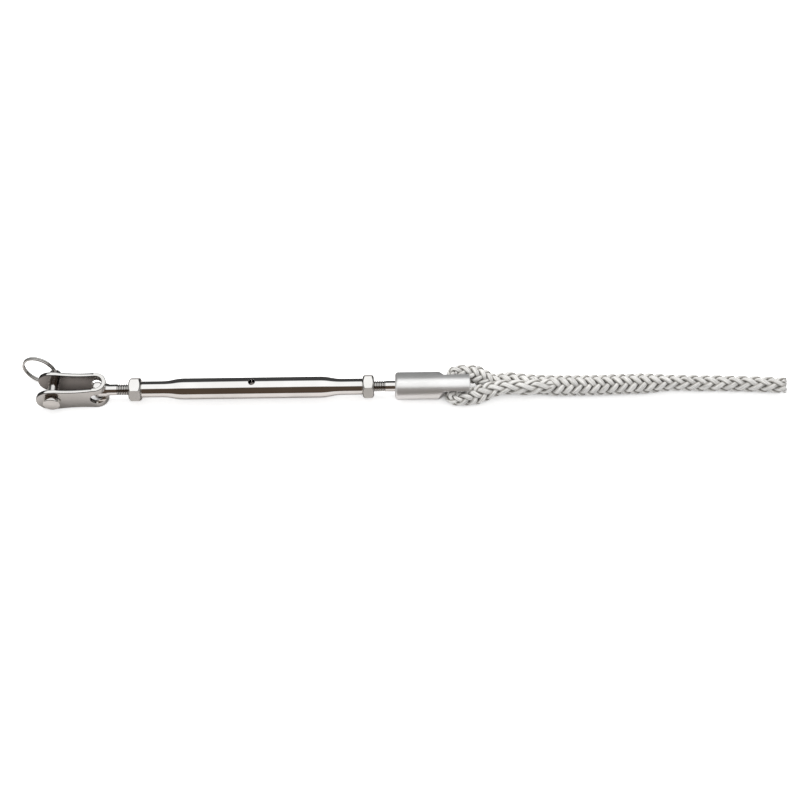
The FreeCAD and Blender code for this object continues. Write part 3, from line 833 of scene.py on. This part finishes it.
brown, grey, paper = (0.31, 0.26, 0.22), (0.25, 0.25, 0.25), (0.84, 0.82, 0.81)  # sRGB levels
studio = {
    # degrees up from the camera's side, over the top to the far side
    "bands": [(-180, brown), (59, brown), (62, (1, 1, 1)), (127, (1, 1, 1)), (134, grey), (180, grey)],
    # metres in front of or behind the axis, of the floor in reflections
    "floorBands": [(-0.09, brown), (-0.07, paper), (0.015, paper), (0.03, grey)],
    "floorReach": 0.2,
    "ends": 0.45,  # how light the studio is along the axis
    "endsFrom": (0.75, 0.95),
    "soft": 0.6,  # light on matt surfaces from all around
    "floorSize": 2,
    "floor": 0.9,
    "glow": 0.62,  # what the open floor adds for the camera, so that it is white
    "glowFrom": (0.04, 0.32),
    "shadowReach": 0.03,
}
lamp = {"place": (0.05, 0.25, 0.75), "target": (0.1, 0, 0), "size": (0.9, 0.35), "power": 5.0}


def linear(level):
    return level / 12.92 if level <= 0.04045 else ((level + 0.055) / 1.055) ** 2.4


def evenGrey(level):
    return (level, level, level, 1)


def addBands(tree, value, bands, low, high):
    # a colour ramp over the value, from bands of (value, sRGB level)
    ramp = addNode(tree, "ValToRGB")
    while len(ramp.color_ramp.elements) < len(bands):
        ramp.color_ramp.elements.new(0.5)
    for element, (place, colour) in zip(ramp.color_ramp.elements, bands):
        element.position = (place - low) / (high - low)
        element.color = (*(linear(level) for level in colour), 1)
    return feed(tree, ramp, {"Fac": remap(tree, value, 0, 1, low, high)}).outputs["Color"]


def makeWorld():
    world = bpy.data.worlds.new("studio")
    world.use_nodes = True
    tree = world.node_tree
    tree.nodes.clear()
    way = addNode(tree, "SeparateXYZ", {0: addNode(tree, "TexCoord").outputs["Generated"]}).outputs
    height = calculate(tree, "ARCTAN2", way["Z"], calculate(tree, "MULTIPLY", way["Y"], -1))
    bands = addBands(tree, calculate(tree, "DEGREES", height), studio["bands"], -180, 180)
    along = remap(tree, calculate(tree, "ABSOLUTE", way["X"]), 0, 1, *studio["endsFrom"])
    paths = addNode(tree, "LightPath").outputs
    mirrored = mixed(tree, along, bands, evenGrey(studio["ends"]))
    lit = mixed(tree, paths["Is Glossy Ray"], evenGrey(studio["soft"]), mirrored)
    seen = mixed(tree, paths["Is Camera Ray"], lit, white)
    background = addNode(tree, "Background", {"Color": seen}).outputs["Background"]
    addNode(tree, "OutputWorld", {"Surface": background})
    bpy.context.scene.world = world


def makeFloor():
    bm = bmesh.new()
    bmesh.ops.create_grid(bm, x_segments=1, y_segments=1, size=studio["floorSize"])
    bmesh.ops.translate(bm, verts=bm.verts, vec=(0, 0, floorHeight))
    floor = newObject("floor", meshOf("floor", bm))
    material, tree, surface = newMaterial("white_floor")
    tree.nodes.remove(surface)
    paths = addNode(tree, "LightPath").outputs
    place = addNode(tree, "SeparateXYZ", {0: addNode(tree, "TexCoord").outputs["Object"]}).outputs["Y"]
    bands = addBands(tree, place, studio["floorBands"], -studio["floorReach"], studio["floorReach"])
    tint = mixed(tree, paths["Is Glossy Ray"], evenGrey(studio["floor"]), bands)
    # painted shade: the glow fades where ambient occlusion finds pieces near, which darkens the floor under
    # and between them
    openness = addNode(tree, "AmbientOcclusion", {"Distance": studio["shadowReach"]}).outputs["AO"]
    glow = remap(tree, openness, 0, studio["glow"], *studio["glowFrom"])
    strength = calculate(tree, "MULTIPLY", paths["Is Camera Ray"], glow)
    diffuse = addNode(tree, "BsdfDiffuse", {"Color": tint}).outputs[0]
    emission = addNode(tree, "Emission", {"Color": white, "Strength": strength}).outputs[0]
    both = addNode(tree, "AddShader", {0: diffuse, 1: emission}).outputs[0]
    feed(tree, tree.nodes["Material Output"], {"Surface": both})
    floor.data.materials.append(material)


def addLamp():
    data = bpy.data.lights.new("overhead", "AREA")
    data.shape, data.energy = "RECTANGLE", lamp["power"]
    data.size, data.size_y = lamp["size"]
    item = newObject("overhead", data)
    item.location = lamp["place"]
    item.rotation_euler = (Vector(lamp["place"]) - Vector(lamp["target"])).to_track_quat("Z", "Y").to_euler()
    item.visible_glossy = False


makeWorld()
makeFloor()
addLamp()
bpy.context.scene.view_settings.view_transform = "Standard"
